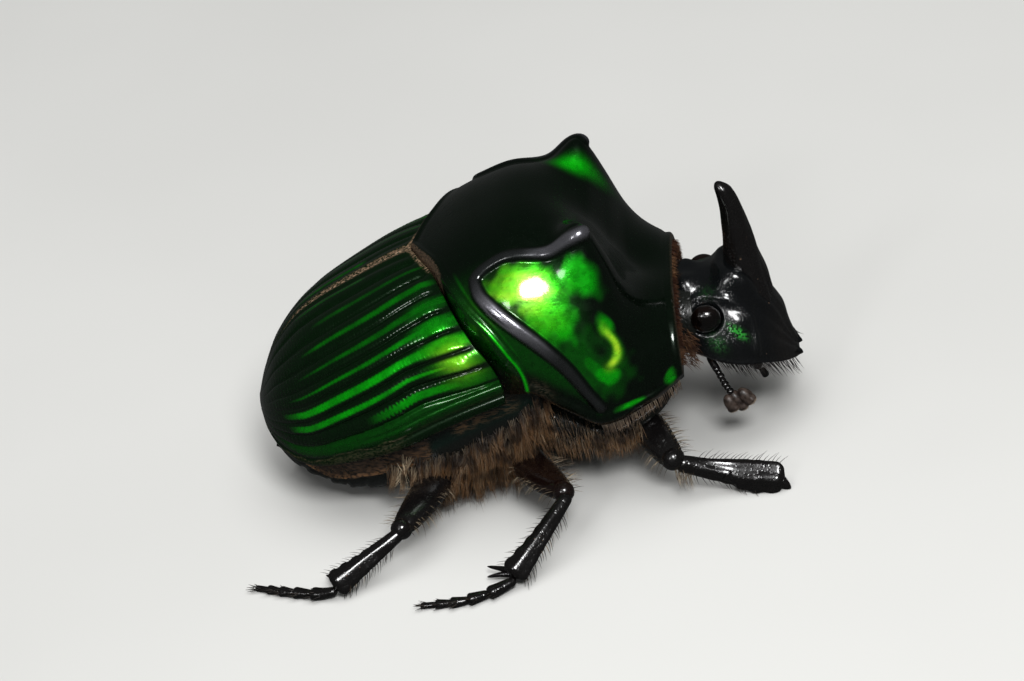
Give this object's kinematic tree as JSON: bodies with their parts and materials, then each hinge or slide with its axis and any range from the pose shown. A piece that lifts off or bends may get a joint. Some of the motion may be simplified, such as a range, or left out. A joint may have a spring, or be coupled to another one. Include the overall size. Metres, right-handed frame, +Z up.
{
  "type": "oxysternon dung beetle",
  "caption": "Life-size still model of a standing horned dung beetle, with a metallic green shell, black legs and head.",
  "frame": {"origin": "middle of the floor area under the beetle", "axes": "+X towards the head, +Y to the beetle's left, +Z up"},
  "size_m": [0.0308, 0.0316, 0.0158],
  "materials": {
    "green_shell": "metallic green gloss",
    "black_shell": "gloss",
    "underside": "dull, haired",
    "eye": "gloss",
    "feeler": "satin",
    "hair": "soft hair"
  },
  "bodies": {
    "root": {"abdomen": "underside", "thorax": "underside", "prothorax": "underside", "pronotum": "green_shell", "elytron_right": "green_shell", "elytron_left": "green_shell", "head": "black_shell", "horn": "black_shell", "mouthparts": "black_shell", "eye_right": "eye", "antenna_right": "feeler", "fore_femur_right": "black_shell", "fore_tibia_right": "black_shell", "mid_femur_right": "black_shell", "mid_tibia_right": "black_shell", "mid_tarsus_right": "black_shell", "hind_femur_right": "black_shell", "hind_tibia_right": "black_shell", "hind_tarsus_right": "black_shell", "eye_left": "eye", "antenna_left": "feeler", "fore_femur_left": "black_shell", "fore_tibia_left": "black_shell", "mid_femur_left": "black_shell", "mid_tibia_left": "black_shell", "mid_tarsus_left": "black_shell", "hind_femur_left": "black_shell", "hind_tibia_left": "black_shell", "hind_tarsus_left": "black_shell"}
  },
  "joints": []
}
